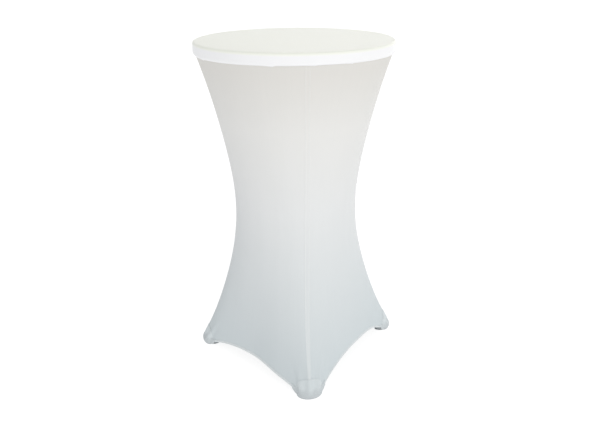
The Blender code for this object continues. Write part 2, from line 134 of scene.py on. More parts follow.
def column_turns():
    """The turn of each lengthwise strand from the front foot, for one whole round."""
    quarter = math.tau / 4
    foot = [FOOT_ARC * i / FOOT_STEPS for i in range(FOOT_STEPS)]
    arch = [FOOT_ARC + (quarter - 2 * FOOT_ARC) * i / ARCH_STEPS for i in range(ARCH_STEPS)]
    last = [quarter - FOOT_ARC + FOOT_ARC * i / FOOT_STEPS for i in range(FOOT_STEPS)]
    return np.array([turn + quarter * side for side in range(4) for turn in foot + arch + last])


def start_net(turns):
    """Straight strands from the rim to the hem, and which knots are free to move."""
    count = len(turns)
    angle = turns - math.pi / 2
    out = np.stack([np.cos(angle), np.sin(angle), np.zeros(count)], axis=1)
    rim = out * RIM_RADIUS
    rim[:, 2] = SKIRT_TOP
    hem = out * FOOT_REACH * 0.75
    hem[:, 2] = 0.06
    held = np.zeros(count, bool)
    for foot in range(4):
        middle = foot * count // 4
        ahead = out[middle]
        side = np.array([-ahead[1], ahead[0], 0.0])
        for step in range(-FOOT_STEPS, FOOT_STEPS + 1):
            turn = step / FOOT_STEPS * math.pi / 2
            place = ahead * (FOOT_REACH - FOOT_DEPTH + FOOT_DEPTH * math.cos(turn))
            place = place + side * FOOT_HALF_WIDTH * math.sin(turn)
            place[2] = FOOT_HEIGHT
            hem[(middle + step) % count] = place
            held[(middle + step) % count] = True
    down = np.linspace(0, 1, ROWS + 1)[None, :, None]
    net = rim[:, None, :] * (1 - down) + hem[:, None, :] * down
    free = np.ones((count, ROWS + 1), bool)
    free[:, 0] = False
    free[held, -1] = False
    return net, free


def pulls(turns):
    """The pull of the strands round the skirt and of the strands down it."""
    width = np.diff(np.append(turns, math.tau))
    step = 1 / ROWS
    at = np.arange(ROWS + 1) * step
    hoop = HOOP_PULL * (1 + WAIST_PULL * np.exp(-(((at - WAIST_AT) / WAIST_SPREAD) ** 2)))
    round_pull = hoop[None, :] * step / width[:, None]
    round_pull[:, -1] = (hoop[-1] * step / 2 + HEM_PULL) / width
    between = np.arange(ROWS) * step
    length = np.exp(-LENGTH_PULL_FADE * (between - 0.5))
    share = (width + np.roll(width, 1)) / 2
    length_pull = length[None, :] * share[:, None] / step
    length_pull[:: len(turns) // 4] += SEAM_PULL / step
    return round_pull, length_pull


# %% Let the net settle
def settled(net, free, round_pull, length_pull):
    def force(shape):
        across = round_pull[..., None] * (np.roll(shape, -1, 0) - shape)
        down = length_pull[..., None] * (shape[:, 1:] - shape[:, :-1])
        total = across - np.roll(across, 1, 0)
        total[:, :-1] += down
        total[:, 1:] -= down
        return total * free[..., None]

    stiffness = round_pull + np.roll(round_pull, 1, 0)
    stiffness[:, :-1] += length_pull
    stiffness[:, 1:] += length_pull
    net = net.copy()
    rest = force(net)
    heading = rest / stiffness[..., None]
    energy = (rest * heading).sum()
    first = energy
    while energy > SETTLED * first:
        change = -force(heading)
        stride = energy / (heading * change).sum()
        net += stride * heading
        rest = rest - stride * change
        lead = rest / stiffness[..., None]
        fresh = (rest * lead).sum()
        heading = lead + fresh / energy * heading
        energy = fresh
    return net


def bump(x):
    """A smooth hump, one at nought and fading to nothing on both sides."""
    return np.exp(-x * x)


TWIST = math.radians(3.3)  # how far round the waist is turned
TWIST_AT = 0.62
TWIST_SPREAD = 0.32
LEANS = (0.060, 0.020, -0.020, -0.058)  # how far round each arch leans, in radians
LEAN_LATE = 2.5  # above 1 the lean is greatest past the middle of the arch
SINKS = (-0.002, 0.0, 0.0, 0.007)  # how much lower each arch hangs
LOW_FADE = 4  # how quickly lean and sag die away up the skirt


def put_on(net, turns):
    """The cover as somebody pulled it on: twisted a little at the waist, with leaning arches."""
    quarter = math.tau / 4
    along = np.clip((turns % quarter - FOOT_ARC) / (quarter - 2 * FOOT_ARC), 0, 1)
    arch = np.minimum(turns // quarter, 3).astype(int)
    lean = np.array(LEANS)[arch] * np.sin(math.pi * along**LEAN_LATE) ** 2
    sink = np.array(SINKS)[arch] * np.sin(math.pi * along) ** 2
    low = np.linspace(0, 1, ROWS + 1) ** LOW_FADE
    x, y, z = net[..., 0], net[..., 1], net[..., 2]
    angle = TWIST * bump((z - TWIST_AT) / TWIST_SPREAD) + lean[:, None] * low
    cos, sin = np.cos(angle), np.sin(angle)
    return np.stack([x * cos - y * sin, x * sin + y * cos, z - sink[:, None] * low], axis=-1)


turns = column_turns()
net, free = start_net(turns)
net = put_on(settled(net, free, *pulls(turns)), turns)
waist = np.linalg.norm(net[..., :2], axis=-1).min()
print("net", net.shape[:2], "waist radius", round(float(waist), 4))

# %% [markdown]
# ## Four panels
#
# The skirt is cut in four panels that meet in a seam over each foot.  The net is evenly spaced, but
# a seam needs points a millimetre apart and the plain cloth doesn't.  So the net is first refined
# on a cubic curve through its knots, panel by panel, which keeps the ridge at each seam sharp, and
# each row is then sampled again: every millimetre beside the seams, and wider in between.

# %% Refine the net and split it at the seams
SEAM_STEP = 0.001
SEAM_POINTS = 11
ACROSS = 72


def halved(points, axis):
    """Points with one more between each two neighbours, on the cubic through the nearest four."""
    p = np.moveaxis(points, axis, 0)
    before = 3 * p[:1] - 3 * p[1:2] + p[2:3]
    after = 3 * p[-1:] - 3 * p[-2:-1] + p[-3:-2]
    wide = np.concatenate([before, p, after])
    middle = (9 * (wide[1:-2] + wide[2:-1]) - wide[:-3] - wide[3:]) / 16
    out = np.empty((2 * len(p) - 1, *p.shape[1:]))
    out[0::2] = p
    out[1::2] = middle
    return np.moveaxis(out, 0, axis)


def unit(vectors):
    return vectors / np.maximum(np.linalg.norm(vectors, axis=-1, keepdims=True), 1e-12)


def run_lengths(points):
    """How far along each row of points every point is."""
    steps = np.linalg.norm(np.diff(points, axis=1), axis=-1)
    return np.concatenate([np.zeros((len(points), 1)), np.cumsum(steps, axis=1)], axis=1)


def fine_net():
    per_panel = len(net) // 4
    quarters = []
    for side in range(4):
        lines = np.arange(side * per_panel, (side + 1) * per_panel + 1) % len(net)
        quarters.append(halved(halved(net[lines], 0), 1)[:-1])
    return np.concatenate(quarters)


fine = fine_net()
fine_normal = unit(np.cross(np.gradient(fine, axis=1), np.roll(fine, -1, 0) - np.roll(fine, 1, 0)))
print("fine net", fine.shape[:2])


# %% Sample each panel
class Panel:
    """One skirt panel: points[column, row] with normals, and each point's place in the cut."""

    def __init__(self, number):
        per_panel = len(fine) // 4
        lines = np.arange(number * per_panel, (number + 1) * per_panel + 1) % len(fine)
        rows = fine[lines].transpose(1, 0, 2)
        row_normals = fine_normal[lines].transpose(1, 0, 2)
        lengths = run_lengths(rows)
        seam = np.arange(SEAM_POINTS) * SEAM_STEP
        even = np.linspace(0, 1, ACROSS + 1)[1:-1]
        eased = even - 0.6 * np.sin(math.tau * even) / math.tau
        found = []
        for row, normal, length in zip(rows, row_normals, lengths):
            whole = length[-1]
            middle = seam[-1] + eased * (whole - 2 * seam[-1])
            at = np.concatenate([seam, middle, whole - seam[::-1]])
            values = [np.interp(at, length, row[:, axis]) for axis in range(3)]
            values += [np.interp(at, length, normal[:, axis]) for axis in range(3)]
            values.append(np.minimum(at, whole - at))
            found.append(np.stack(values, axis=1))
        found = np.array(found).transpose(1, 0, 2)
        self.points = found[..., :3]
        self.normals = unit(found[..., 3:6])
        self.beside = found[..., 6]  # distance to the nearer seam
        self.up = run_lengths(self.points[:, ::-1])[:, ::-1]  # distance up from the hem's edge

    def strip(self, columns, heights):
        """The panel's points, normals and seam distances at heights above its edge."""
        picked = []
        for column, wanted in zip(columns, np.broadcast_to(heights, (len(columns), len(heights[0])))):
            up = self.up[column, ::-1]
            parts = [self.points[column, ::-1], self.normals[column, ::-1]]
            parts.append(self.beside[column, ::-1, None])
            whole = np.concatenate(parts, axis=1)
            picked.append(np.stack([np.interp(wanted, up, value) for value in whole.T], axis=1))
        picked = np.array(picked)
        return picked[..., :3], unit(picked[..., 3:6]), picked[..., 6]


panels = [Panel(number) for number in range(4)]
COLUMNS = len(panels[0].points)
print("panel grid", panels[0].points.shape[:2])

# %% [markdown]
# ## Relief in the cloth
#
# Smooth cloth looks like plastic.  Three things break it up, all made as shape.  Each
# seam has its allowance folded inside, which shows through as two low ridges beside a fine groove.
# Over each foot the gathered cloth makes soft upright pleats that open out and die away upwards.
# And the whole skirt has long, shallow ripples along the pull.  One function gives all three, so
# that the skirt, the hem and the foot pockets bend together and never cut each other.

# %% One relief for all the cover's pieces
ALLOWANCE = 0.0065
PLEAT = 0.028  # from one pleat to the next at the foot
PLEAT_RISE = 0.0024
PLEAT_FULL = 0.022  # height at which the pleats stand out fully


def seam_relief(beside, z):
    width = ALLOWANCE * np.clip(0.45 + z / 0.35, 0.45, 1.0)
    ridge = 0.00032 * bump((beside - width) / 0.0018)
    groove = 0.00016 * bump(beside / 0.0010)
    return ridge - groove


def foot_pleats(beside, up):
    spread = PLEAT * (1 + up / 0.11)
    rise = np.clip(up / PLEAT_FULL, 0, 1) ** 2 * bump(np.maximum(up - PLEAT_FULL, 0) / 0.060)
    reach = bump(np.maximum(beside - 0.030, 0) / 0.030)
    return PLEAT_RISE * np.cos(math.tau * beside / spread) * rise * reach


def ripples(points):
    turn = np.arctan2(points[..., 1], points[..., 0])
    z = points[..., 2]
    slow = np.sin(9 * turn + 2.1 * z) * np.sin(4 * z + 5 * turn)
    quick = np.sin(23 * turn - 3.0 * z + 1.3) * np.sin(5.5 * z + 2 * turn)
    return 0.00030 * slow + 0.00016 * quick


def lifted(points, normals, beside, up, stand):
    """Points moved out along their normals by the cloth's relief and a stand-off."""
    held = np.clip((SKIRT_TOP - points[..., 2]) / 0.05, 0, 1)
    relief = seam_relief(beside, points[..., 2]) + foot_pleats(beside, up) + held * ripples(points)
    return points + normals * (relief + stand)[..., None]


# %% [markdown]
# ## Meshes from grids and rings
#
# Every piece of cloth here is either a grid with two faces and a rim, or a ring of points carried
# along a path.  Writing the faces down directly is quicker than a modifier, and it gives a closed
# mesh, so each piece has a real thickness from any side.

# %% Mesh helpers
def face_outwards(mesh):
    """Turn every face over if the closed mesh has a negative volume."""
    mesh.calc_loop_triangles()
    places = np.empty(3 * len(mesh.vertices))
    mesh.vertices.foreach_get("co", places)
    corners = np.empty(3 * len(mesh.loop_triangles), int)
    mesh.loop_triangles.foreach_get("vertices", corners)
    a, b, c = places.reshape(-1, 3)[corners.reshape(-1, 3)].transpose(1, 0, 2)
    if (a * np.cross(b, c)).sum() < 0:
        mesh.flip_normals()


def add_mesh(name, points, faces, material, sharp=40):
    mesh = bpy.data.meshes.new(name)
    mesh.from_pydata([tuple(p) for p in np.asarray(points).tolist()], [], faces)
    mesh.update()
    face_outwards(mesh)
    mesh.shade_smooth()
    mesh.set_sharp_from_angle(angle=math.radians(sharp))
    mesh.materials.append(material)
    piece = bpy.data.objects.new(name, mesh)
    bpy.context.scene.collection.objects.link(piece)
    return piece


def cloth_sheet(name, outer, inner, material):
    """A closed sheet between two grids of points."""
    lines, rows = outer.shape[:2]
    count = lines * rows
    index = np.arange(count).reshape(lines, rows)
    a, b, c, d = index[:-1, :-1], index[1:, :-1], index[1:, 1:], index[:-1, 1:]
    skin = np.stack([a, b, c, d], axis=-1).reshape(-1, 4)
    back = skin[:, ::-1] + count
    edge = np.concatenate([index[:, 0], index[-1, 1:], index[-2::-1, -1], index[0, -2:0:-1]])
    after = np.roll(edge, -1)
    rim = np.stack([after, edge, edge + count, after + count], axis=-1)
    faces = np.concatenate([skin, back, rim])
    points = np.concatenate([outer.reshape(-1, 3), inner.reshape(-1, 3)])
    return add_mesh(name, points, faces.tolist(), material)


def cloth_roll(name, rings, material, joined=False):
    """A closed tube through rings of points, with flat ends, or joined into a hoop."""
    count, around = rings.shape[:2]
    index = np.arange(count * around).reshape(count, around)
    if joined:
        here, there = index, np.roll(index, -1, 0)
    else:
        here, there = index[:-1], index[1:]
    faces = np.stack([here, there, np.roll(there, -1, 1), np.roll(here, -1, 1)], axis=-1)
    faces = faces.reshape(-1, 4).tolist()
    if not joined:
        faces += [index[0].tolist(), index[-1, ::-1].tolist()]
    return add_mesh(name, rings.reshape(-1, 3), faces, material)


# %% [markdown]
# ## Stitches
#
# A stitch is a short loop of thread that dives into the cloth at both ends.  Each row of stitches
# is one mesh: the path is divided into equal steps, and the same small four-ring bar is placed at
# each step along the path's direction, standing on the cloth.

# %% A row of stitches along a path
THREAD = 0.00042


def stitch_row(name, paths, material, pitch=0.0034, length=0.0024):
    """Thread loops along each (points, normals) path."""
    along = np.array([-0.5, -0.26, 0.26, 0.5]) * length
    rise = np.array([-0.5, 0.45, 0.45, -0.5]) * THREAD
    radius = np.array([0.4, 0.6, 0.6, 0.4]) * THREAD
    turn = np.arange(5) * math.tau / 5
    points = []
    for path, normal in paths:
        run = run_lengths(path[None])[0]
        count = int(run[-1] / pitch)
        at = (np.arange(count) + 0.5) * run[-1] / count
        place = np.stack([np.interp(at, run, path[:, i]) for i in range(3)], axis=1)
        ahead = np.stack([np.interp(at + pitch / 2, run, path[:, i]) for i in range(3)], axis=1)
        up = unit(np.stack([np.interp(at, run, normal[:, i]) for i in range(3)], axis=1))
        ahead = unit(ahead - place)
        side = np.cross(ahead, up)
        ring = place[:, None] + ahead[:, None] * along[:, None] + up[:, None] * rise[:, None]
        spoke = side[:, None, None] * np.cos(turn)[:, None] + up[:, None, None] * np.sin(turn)[:, None]
        points.append((ring[:, :, None] + spoke * radius[:, None, None]).reshape(-1, 3))
    points = np.concatenate(points)
    bar = np.arange(20).reshape(4, 5)
    sides = np.stack([bar[:-1], bar[1:], np.roll(bar[1:], -1, 1), np.roll(bar[:-1], -1, 1)], axis=-1)
    starts = range(0, len(points), 20)
    faces = [[k + start for k in face] for start in starts for face in sides.reshape(-1, 4).tolist()]
    faces += [[k + start for k in bar[0].tolist()] for start in starts]
    faces += [[k + start for k in bar[-1, ::-1].tolist()] for start in starts]
    return add_mesh(name, points, faces, material, sharp=80)


# %% [markdown]
# ## Writing materials as sums
#
# Every finish below is a small formula over the object's own coordinates.  The class wraps a
# node's output, so that ordinary arithmetic on it adds Math nodes, and one method adds any other
# node.  A number that is the same all over the surface goes straight onto the shader.

# %% A socket that can be added and multiplied
class Wire:
    def __init__(self, socket):
        self.socket = socket

    def node(self, kind, settings, sockets, output=0):
        """Add a node: its settings first, then the values or links of its sockets."""
        tree = self.socket.id_data
        made = tree.nodes.new(kind)
        for name, value in settings.items():
            if name == "stops":
                stops = made.color_ramp.elements
                for place, _ in value[2:]:
                    stops.new(place)
                for stop, (place, colour) in zip(stops, value):
                    stop.position = place
                    stop.color = (*colour, 1)
            else:
                setattr(made, name, value)
        for name, value in sockets.items():
            if isinstance(value, Wire):
                tree.links.new(value.socket, made.inputs[name])
            else:
                made.inputs[name].default_value = value
        return Wire(made.outputs[output])

    def sum_of(self, operation, first, second):
        return self.node("ShaderNodeMath", {"operation": operation}, {0: first, 1: second})

    def __add__(self, other):
        return self.sum_of("ADD", self, other)

    def __sub__(self, other):
        return self.sum_of("SUBTRACT", self, other)

    def __rsub__(self, other):
        return self.sum_of("SUBTRACT", other, self)

    def __mul__(self, other):
        return self.sum_of("MULTIPLY", self, other)

    def __pow__(self, other):
        return self.sum_of("POWER", self, other)

    __radd__ = __add__
    __rmul__ = __mul__

    def sine(self):
        return self.node("ShaderNodeMath", {"operation": "SINE"}, {0: self})

    def absolute(self):
        return self.node("ShaderNodeMath", {"operation": "ABSOLUTE"}, {0: self})

    def exponential(self):
        return self.node("ShaderNodeMath", {"operation": "EXPONENT"}, {0: self})

    def lesser(self, other):
        return self.sum_of("MINIMUM", self, other)

    def held(self):
        """Kept between 0 and 1."""
        return self.node("ShaderNodeClamp", {}, {"Value": self})


# %% Parts that every finish uses
def start_finish(name, **constants):
    """A new material, its shader, and the object's own coordinates."""
    material = bpy.data.materials.new(name)
    material.use_nodes = True
    nodes = material.node_tree.nodes
    shader = nodes["Principled BSDF"]
    for socket, value in constants.items():
        shader.inputs[socket.replace("_", " ")].default_value = value
    place = Wire(nodes.new("ShaderNodeTexCoord").outputs["Object"])
    return material, shader, place


def feed(shader, socket, wire):
    shader.id_data.links.new(wire.socket, shader.inputs[socket])


def axes(place):
    return [place.node("ShaderNodeSeparateXYZ", {}, {0: place}, output=i) for i in range(3)]


def joined(x, y, z):
    return x.node("ShaderNodeCombineXYZ", {}, {0: x, 1: y, 2: z})


def noise(place, scale, detail=3.0, roughness=0.5):
    sockets = {"Vector": place, "Scale": scale, "Detail": detail, "Roughness": roughness}
    return place.node("ShaderNodeTexNoise", {}, sockets)


def mixed(factor, first, second):
    """One colour turning into another as the factor goes from 0 to 1."""
    colours = {6: (*first, 1) if isinstance(first, tuple) else first}
    colours[7] = (*second, 1) if isinstance(second, tuple) else second
    return factor.node("ShaderNodeMix", {"data_type": "RGBA"}, {0: factor, **colours}, output=2)


def tinted(factor, colour, other):
    """A colour multiplied by another as the factor goes from 0 to 1."""
    settings = {"data_type": "RGBA", "blend_type": "MULTIPLY"}
    return factor.node("ShaderNodeMix", settings, {0: factor, 6: colour, 7: (*other, 1)}, output=2)


def raised(height, distance, strength=1.0):
    sockets = {"Strength": strength, "Distance": distance, "Height": height}
    return height.node("ShaderNodeBump", {}, sockets)


# %% [markdown]
# ## The knit
#
# The cloth is a smooth knit of polyester and elastane.  Up close it has fine ribs, called wales,
# running the length of the piece, crossed by rows of loops.  The ribs are counted round the table,
# because that is how they lie.
#
# The cloth itself is one plain white.  The skirt's colour still changes with height, from a warm
# white near the rim to a cooler, greyer one near the floor.  Thin drawn-out knit lets some shade
# through, but most of this is soft shading of a real room that two lamps and a plain sky don't
# give, so under other lights the ramp is best replaced by one white.

# %% Knit finishes
WALES = 1500
COURSE = 0.0011
SEAM_BAND = 0.0078  # half the width of the doubled cloth at a seam
SEAM_BAND_EDGE = 0.0012

# The skirt's colour by its height as a share of the table's, mostly painted shade of the room's light:
# darker towards the floor and just under the rim's band
SKIRT_PAINTED_SHADE_RAMP = [
    (0.05, (0.572, 0.624, 0.645)),
    (0.33, (0.664, 0.695, 0.707)),
    (0.55, (0.726, 0.738, 0.742)),
    (0.79, (0.739, 0.737, 0.722)),
    (0.95, (0.684, 0.671, 0.642)),
]


def lengthwise_knit(place):
    """Height of the loops, and slow streaks along the wales, on cloth that hangs round the table."""
    x, y, z = axes(place)
    turn = x.node("ShaderNodeMath", {"operation": "ARCTAN2"}, {0: y, 1: x})
    wale = (turn * WALES).sine() * 0.5 + 0.5
    loops = (z * (math.tau / COURSE) + wale * 2.2).sine() * 0.5 + 0.5
    streaks = noise(joined(turn * 55, z * 2.5, x * 0), 1.0, detail=4.0, roughness=0.6)
    return wale * 0.7 + loops * 0.3, streaks


def skirt_finish():
    material, shader, place = start_finish("stretch_knit", Specular_IOR_Level=0.25)
    loops, streaks = lengthwise_knit(place)
    x, y, z = axes(place)
    up = (z * (1 / HEIGHT)).held()
    from_waist = (z - TWIST_AT) * (1 / TWIST_SPREAD)
    twist = (from_waist * from_waist * -1.0).exponential() * TWIST
    beside = (x + y * twist).absolute().lesser((y - x * twist).absolute())
    width = (z * (1 / 0.35) + 0.45).held() * SEAM_BAND
    groove = (beside * 500.0 + 0.9 - (z * 4.0 - 0.6).held() * 1.75).held()
    doubled = ((width - beside) * (1 / SEAM_BAND_EDGE)).held() * groove * (0.28 - up * 0.20)
    mottle = noise(place, 9.0, detail=2.0)
    # painted shade: the colour ramp darkens the skirt towards the floor and just under the rim's band
    painted_shade_ramp = up.node("ShaderNodeValToRGB", {"stops": SKIRT_PAINTED_SHADE_RAMP}, {"Fac": up})
    shown = tinted((streaks * 0.5 + mottle * 0.5).held(), painted_shade_ramp, (0.955, 0.957, 0.96))
    feed(shader, "Base Color", mixed(doubled, shown, (0.80, 0.81, 0.81)))
    feed(shader, "Roughness", streaks * 0.12 + 0.62)
    feed(shader, "Normal", raised(loops + streaks * 1.6, 0.00012))
    return material


def top_finish():
    """The top panel's wales run straight across; its rim is drawn over the board's edge."""
    constants = {"Sheen_Weight": 0.4, "Sheen_Roughness": 0.45, "Specular_IOR_Level": 0.3}
    material, shader, place = start_finish("top_knit", **constants)
    x, y, z = axes(place)
    wale = (x * (math.tau / 0.0012)).sine() * 0.5 + 0.5
    loops = (y * (math.tau / COURSE) + wale * 2.2).sine() * 0.5 + 0.5
    streaks = noise(joined(x * 60, y * 4, z), 1.0, detail=4.0, roughness=0.6)
    mottle = noise(place, 7.0, detail=2.0)
    rim = ((HEIGHT - z - 0.0045) * (1 / 0.005)).held()
    patchy = (mottle * 0.6 + streaks * 0.4).held()
    flat = tinted(patchy, (0.874, 0.886, 0.815, 1), (0.97, 0.97, 0.96))
    feed(shader, "Base Color", mixed(rim, flat, (0.842, 0.847, 0.860)))
    feed(shader, "Roughness", streaks * 0.1 + 0.60)
    feed(shader, "Normal", raised(wale * 0.7 + loops * 0.3 + streaks * 1.2, 0.00012))
    return material


def doubled_finish(name, low, high, rise):
    """Two layers of knit, its colour turning from low to high by the height rise: painted shade towards
    the floor.
    """
    constants = {"Sheen_Weight": 0.2, "Sheen_Roughness": 0.4, "Specular_IOR_Level": 0.3}
    material, shader, place = start_finish(name, **constants)
    loops, streaks = lengthwise_knit(place)
    x, y, z = axes(place)
    mottle = noise(place, 60.0, detail=3.0)
    # painted shade: darker towards the floor, from low at the floor to high at the height rise
    tone_with_painted_shade = mixed((z * (1 / rise)).held(), low, high)
    patchy = (streaks * 0.5 + mottle * 0.5).held()
    feed(shader, "Base Color", tinted(patchy, tone_with_painted_shade, (0.94, 0.945, 0.95)))
    feed(shader, "Roughness", mottle * 0.15 + 0.60)
    feed(shader, "Normal", raised(loops + mottle * 1.5, 0.00015))
    return material


def thread_finish():
    """Twisted thread: fine slanting plies."""
    constants = {"Sheen_Weight": 0.1, "Specular_IOR_Level": 0.4}
    material, shader, place = start_finish("white_thread", **constants)
    x, y, z = axes(place)
    ply = ((x + y + z) * (math.tau / 0.0007)).sine() * 0.5 + 0.5
    feed(shader, "Base Color", mixed(ply, (0.70, 0.72, 0.73), (0.82, 0.83, 0.84)))
    feed(shader, "Roughness", ply * 0.15 + 0.42)
    feed(shader, "Normal", raised(ply, 0.00008))
    return material


skirt_knit = skirt_finish()
top_knit = top_finish()
# painted shade: the hem darkens towards the floor as the skirt does; the pockets and soles are darker
# still, darkest where the toe turns under
hem_knit = doubled_finish("hem_knit", (0.640, 0.685, 0.700), (0.70, 0.71, 0.71), 0.25)
pocket_knit = doubled_finish("pocket_knit", (0.455, 0.485, 0.505), (0.608, 0.657, 0.674), 0.035)
thread = thread_finish()
print("cloth finishes", [m.name for m in (skirt_knit, top_knit, hem_knit, pocket_knit, thread)])

# %% [markdown]
# ## The top
#
# The top panel lies flat on the board, rolls over its edge and turns in underneath, where it is
# sewn to the skirt.  A turned profile gives the round form.  The seam pulls unevenly, so the lower
# edge of the band dips in a few small tucks: a slow slope down and a quick step back.

# %% Top panel
AROUND = 360
TOP_KNIT = 0.0009
ROLL = 0.0075  # radius of the roll over the board's edge
SAG = 0.005  # how much lower the band hangs over the left and right feet
LIP_IN = 0.0085
# Turn from the front foot in degrees, depth and width in degrees of each tuck in the rim
TUCKS = ((-17, 0.0026, 8), (4, 0.0011, 5), (24, 0.0017, 7), (71, 0.0015, 6), (118, 0.0022, 7))
TUCKS += ((163, 0.0013, 5), (205, 0.0024, 8), (251, 0.0012, 6), (297, 0.0018, 7))


def arc_points(radius, start, end, count):
    turn = np.radians(np.linspace(start, end, count))
    return np.stack([radius * np.cos(turn), radius * np.sin(turn)], axis=1)


def top_outline(inset):
    """The cloth's profile as (radius, height), from the middle out and round under the board."""
    outer = RADIUS - inset
    high = HEIGHT - inset
    low = LIP_UNDER + inset
    roll = ROLL - inset
    flat = np.array([[r, high] for r in (0.0005, 0.05, 0.10, 0.15, 0.20, 0.24, 0.27, 0.288)])
    shoulder = arc_points(roll, 90, 0, 9) + (outer - roll, high - roll)
    wall = np.array([[outer, high - roll - (high - low - 2 * roll) * t] for t in (0.25, 0.5, 0.75)])
    under = arc_points(roll, 0, -90, 9) + (outer - roll, low + roll)
    lip = np.array([[RADIUS - LIP_IN, low]])
    return np.concatenate([flat, shoulder, wall, under, lip])


def tuck_depth(turn):
    """How far each tuck draws the band's lower edge down at this turn."""
    depth = SAG * np.cos(turn) ** 2
    for at, deep, wide in TUCKS:
        away = (np.degrees(turn) + 90 - at + 180) % 360 - 180
        slope = np.clip(1 + away / wide, 0, 1) ** 2 * (away <= 0)
        back = np.clip(1 - away / (0.18 * wide), 0, 1) * (away > 0)
        depth = depth + deep * (slope + back)
    return depth


def turned_cloth(outline):
    turn = np.arange(AROUND) * math.tau / AROUND
    radius = outline[None, :, 0]
    x = radius * np.cos(turn)[:, None]
    y = radius * np.sin(turn)[:, None]
    z = np.broadcast_to(outline[None, :, 1], x.shape).copy()
    low = np.clip((HEIGHT - 0.012 - z) / (RIM_DEPTH - 0.012), 0, 1) ** 2
    drop = tuck_depth(turn)[:, None] * low
    uneven = 0.00035 * (np.sin(11 * turn + 0.7) + np.sin(29 * turn + 2.0))[:, None] * low
    out = 1 + (0.35 * drop + uneven) / RADIUS
    return np.stack([x * out, y * out, z - drop * 0.8], axis=-1)


def make_top():
    outside, inside = turned_cloth(top_outline(0)), turned_cloth(top_outline(TOP_KNIT))
    grid = np.concatenate([outside, inside[:, ::-1]], axis=1)
    middle = grid[:, [0, -1]].mean(0)
    rings = grid.transpose(1, 0, 2)
    index = np.arange(rings.shape[0] * AROUND).reshape(rings.shape[0], AROUND)
    here, there = index[:-1], index[1:]
    faces = np.stack([here, there, np.roll(there, -1, 1), np.roll(here, -1, 1)], axis=-1)
    faces = faces.reshape(-1, 4).tolist()
    points = np.concatenate([rings.reshape(-1, 3), middle])
    first, last = index[0].tolist(), index[-1].tolist()
    faces += [[len(points) - 2, a, b] for a, b in zip(first, first[1:] + first[:1])]
    faces += [[len(points) - 1, b, a] for a, b in zip(last, last[1:] + last[:1])]
    return add_mesh("top_cloth", points, faces, top_knit)


top_cloth = make_top()
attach(top_cloth, COVER)
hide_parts("top_panel")

# %% [markdown]
# ## The rim seam
#
# Under the band the top panel and the skirt are sewn together with an elastic tape behind them.
# Two rings show it: a rolled edge in the angle between band and skirt, and the tape inside.

# %% Rolled seam and tape
def hoop(name, outline, material):
    """A closed outline of (radius, height) points turned round the table."""
    turn = np.arange(AROUND) * math.tau / AROUND
    outline = np.asarray(outline)
    ring = np.empty((AROUND, len(outline), 3))
    ring[..., 0] = outline[None, :, 0] * np.cos(turn)[:, None]
    ring[..., 1] = outline[None, :, 0] * np.sin(turn)[:, None]
    below = outline[None, :, 1] < SKIRT_TOP + 0.002
    ring[..., 2] = outline[None, :, 1] - 0.5 * tuck_depth(turn)[:, None] * below
    return cloth_roll(name, ring, material, joined=True)


bead = arc_points(0.0013, 360, 36, 10) + (RIM_RADIUS - 0.0008, SKIRT_TOP + 0.0008)
rim_roll = hoop("rim_roll", bead, skirt_knit)
tape_out = RIM_RADIUS - 0.0027
tape_in = tape_out - 0.008
tape = [(tape_in, LIP_UNDER + 0.0009), (tape_in, LIP_UNDER + 0.0003), (tape_in + 0.0003, LIP_UNDER)]
tape += [(tape_out - 0.0003, LIP_UNDER), (tape_out, LIP_UNDER + 0.0003), (tape_out, LIP_UNDER + 0.0009)]
tape += [(tape_out - 0.0003, LIP_UNDER + 0.0012), (tape_in + 0.0003, LIP_UNDER + 0.0012)]
rim_tape = hoop("rim_tape", tape[::-1], hem_knit)
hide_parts("rim_seam_tape")
for piece, slot in ((rim_roll, "stretch_cloth"), (rim_tape, "binding_cloth")):
    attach(piece, COVER)
print("rim pieces", rim_roll.name, rim_tape.name)

# %% [markdown]
# ## The skirt
#
# Each panel is a closed sheet a little over half a millimetre thick.  Its points are the sampled
# net with the relief added, pushed out and in by half the thickness.

# %% Skirt panels
skirt_cloths = []
for name, panel in zip(PANELS, panels):
    shown = (panel.points, panel.normals, panel.beside, panel.up)
    outside, inside = lifted(*shown, KNIT / 2), lifted(*shown, -KNIT / 2)
    cloth = cloth_sheet(f"skirt_cloth_{name}", outside, inside, skirt_knit)
    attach(cloth, COVER)
    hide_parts(f"skirt_panel_{name}")
    skirt_cloths.append(cloth)

# %% [markdown]
# ## The hem
#
# The arched edge between two feet is bound: a band folded round it, one centimetre deep, lighter
# than the skirt because the cloth is doubled.  The band is a flat tube carried along the edge, with
# the skirt's edge inside it, and a row of stitches just below its upper edge.

# %% Hem bands and their stitches
BAND = ((0.0100, 0.0005), (0.0092, 0.0009), (0.0070, 0.00100), (0.0040, 0.00105), (0.0015, 0.0009))
BAND += ((0.0002, 0.0005), (-0.0003, 0.0000))
BAND += tuple((high, -stand) for high, stand in BAND[-2::-1])


def band_rings(panel):
    """The band's outline at each column of a panel, as high above the edge as the outline says."""
    columns = range(COLUMNS)
    heights = np.array([[max(high, 0) for high, _ in BAND]])
    points, normals, beside = panel.strip(columns, heights)
    stand = np.array([[side for _, side in BAND]])
    below = np.array([[min(high, 0) for high, _ in BAND]])
    down = unit(panel.points[:, -1] - panel.points[:, -3])[:, None]
    rings = lifted(points, normals, beside, heights + 0 * beside, stand + 0 * beside)
    return rings - down * below[..., None]


def edge_path(panel, height, stand):
    points, normals, beside = panel.strip(range(COLUMNS), np.array([[height]]))
    raised_points = lifted(points, normals, beside, height + 0 * beside, stand + 0 * beside)
    return raised_points[:, 0], normals[:, 0]


